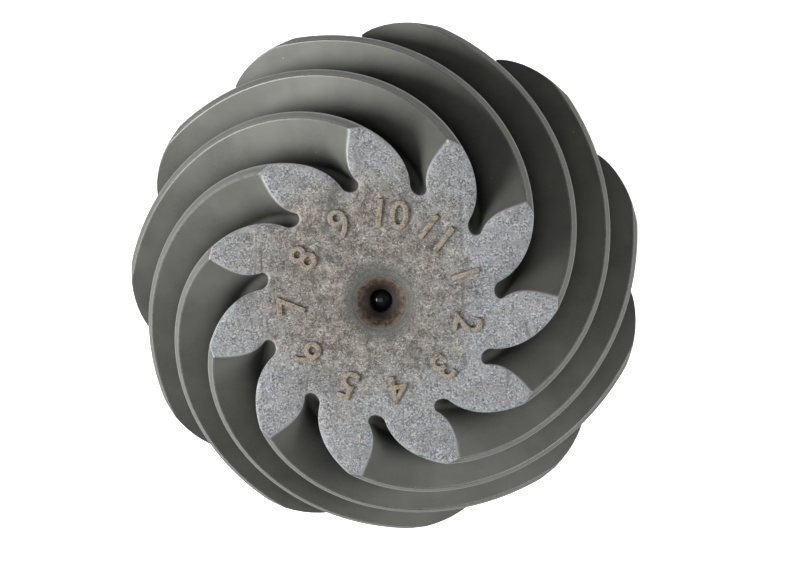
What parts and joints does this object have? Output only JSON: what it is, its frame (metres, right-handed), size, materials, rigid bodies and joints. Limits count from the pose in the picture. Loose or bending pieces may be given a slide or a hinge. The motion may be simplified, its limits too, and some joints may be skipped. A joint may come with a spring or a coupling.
{
  "type": "hypoid drive pinion assembly",
  "caption": "Left-hand hypoid drive pinion with taper roller bearings, shim, crush sleeve, oil seal, end yoke and nut, for the final drive of an axle.",
  "frame": {"origin": "on the pinion's axis, in the plane of the yoke's four ear pads, on which the part stands", "axes": "+Z along the pinion's axis, from the yoke to the small end of the teeth; +X from ear to ear of the yoke"},
  "size_m": [0.094, 0.0947, 0.234],
  "materials": {
    "phosphated_steel": "forged and hardened steel with a matte dark grey phosphate coat",
    "shim_steel": "ground spring steel shim",
    "bearing_steel": "ground bearing steel",
    "roller_steel": "superfinished bearing steel",
    "cage_steel": "pressed sheet steel, dark phosphate",
    "sleeve_steel": "oiled mild steel tube",
    "slinger_steel": "yellow-passivated zinc on pressed steel",
    "seal_steel": "pressed steel with a dark sealant coat",
    "seal_rubber": "nitrile rubber",
    "spring_steel": "coiled spring wire",
    "yoke_iron": "as-cast ductile iron with machined hub and pads",
    "deflector_steel": "zinc-plated pressed steel",
    "washer_steel": "hardened steel washer",
    "nut_steel": "phosphated flange nut"
  },
  "bodies": {
    "axle_side": {"rear_bearing_cup": "bearing_steel", "front_bearing_cup": "bearing_steel", "seal_case": "seal_steel", "seal_inner_case": "seal_steel", "seal_lip": "seal_rubber", "seal_spring": "spring_steel"},
    "pinion_shaft": {"drive_pinion": "phosphated_steel", "depth_shim": "shim_steel", "rear_bearing_cone": "bearing_steel", "crush_sleeve": "sleeve_steel", "front_bearing_cone": "bearing_steel", "oil_slinger": "slinger_steel", "end_yoke": "yoke_iron", "dust_deflector": "deflector_steel", "pinion_washer": "washer_steel", "pinion_nut": "nut_steel"},
    "rear_roller_set": {"rear_bearing_cage": "cage_steel", "rear_bearing_rollers": "roller_steel"},
    "front_roller_set": {"front_bearing_cage": "cage_steel", "front_bearing_rollers": "roller_steel"}
  },
  "joints": [
    {"name": "pinion_spin", "type": "hinge", "parent": "axle_side", "child": "pinion_shaft", "pos_m": [0, 0, 0.15], "axis": [0, 0, 1], "continuous": true},
    {"name": "rear_cage_orbit", "type": "hinge", "parent": "axle_side", "child": "rear_roller_set", "pos_m": [0, 0, 0.173], "axis": [0, 0, 1], "continuous": true},
    {"name": "front_cage_orbit", "type": "hinge", "parent": "axle_side", "child": "front_roller_set", "pos_m": [0, 0, 0.1075], "axis": [0, 0, 1], "continuous": true}
  ],
  "couplings": [
    {"joint": "rear_cage_orbit", "follows": "pinion_spin", "ratio": 0.43395},
    {"joint": "front_cage_orbit", "follows": "pinion_spin", "ratio": 0.43163}
  ]
}
